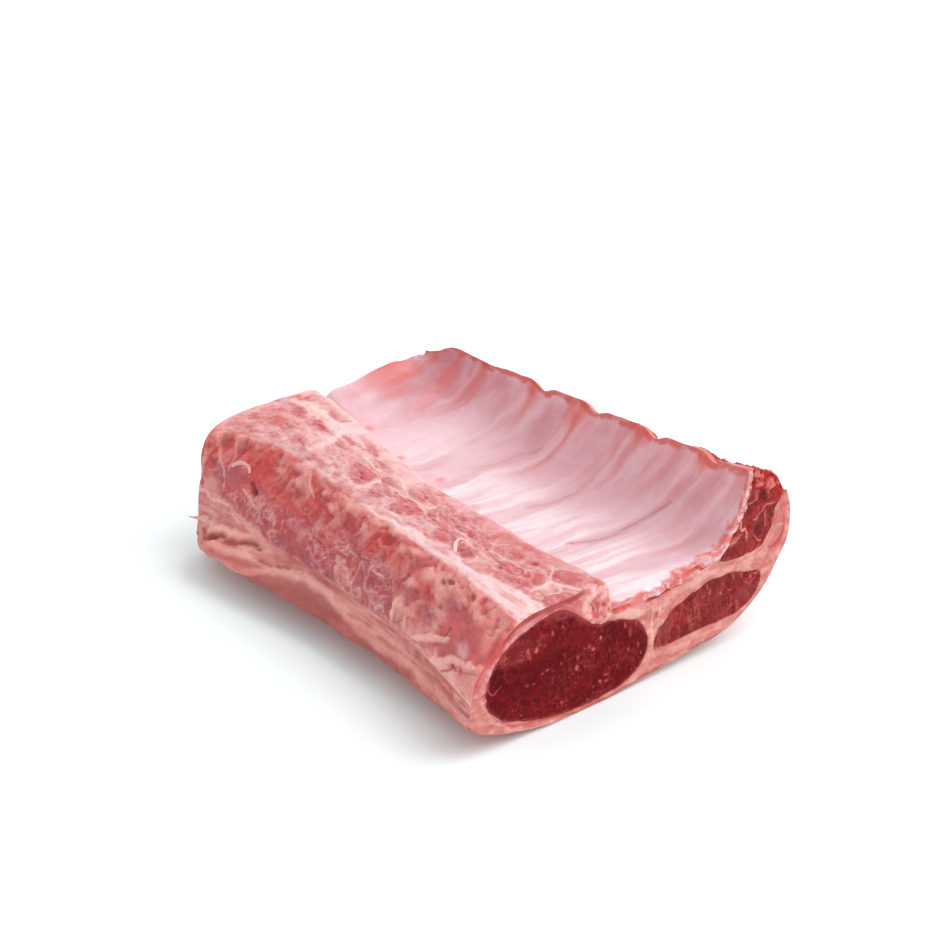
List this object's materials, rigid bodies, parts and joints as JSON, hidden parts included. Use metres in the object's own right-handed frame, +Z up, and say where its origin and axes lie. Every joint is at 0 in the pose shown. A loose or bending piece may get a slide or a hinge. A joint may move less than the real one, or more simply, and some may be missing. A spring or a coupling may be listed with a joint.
{
  "type": "raw rack of lamb",
  "caption": "Raw rack of lamb lying on its fat side: a ribbed inner wall rising from a flat-topped chine side to a wavy rim, with loin eye and rib muscles showing at both cuts.",
  "frame": {"origin": "middle of the footprint's bounding box, on the board", "axes": "+X from the chine side to the rib tips, +Y from the front cut to the back cut along the backbone, +Z up"},
  "size_m": [0.1408, 0.172, 0.0627],
  "materials": {
    "fat": "moist pale fat with a pink cast",
    "chine_tissue": "moist red meat with white connective web and cream fat",
    "rib_membrane": "wet glossy pink-white membrane over the ribs",
    "loin_meat": "dark wine-red cut meat, coarse grained and moist",
    "rib_meat": "red cut meat with upright pale fibres, moist",
    "flank_meat": "dark red cut meat flecked with fat, moist"
  },
  "bodies": {
    "root": {"fat_cap": "fat", "chine_strip": "chine_tissue", "rib_wall": "rib_membrane", "loin_eye": "loin_meat", "rib_cap_muscle": "rib_meat", "flank_muscle": "flank_meat"}
  },
  "joints": []
}
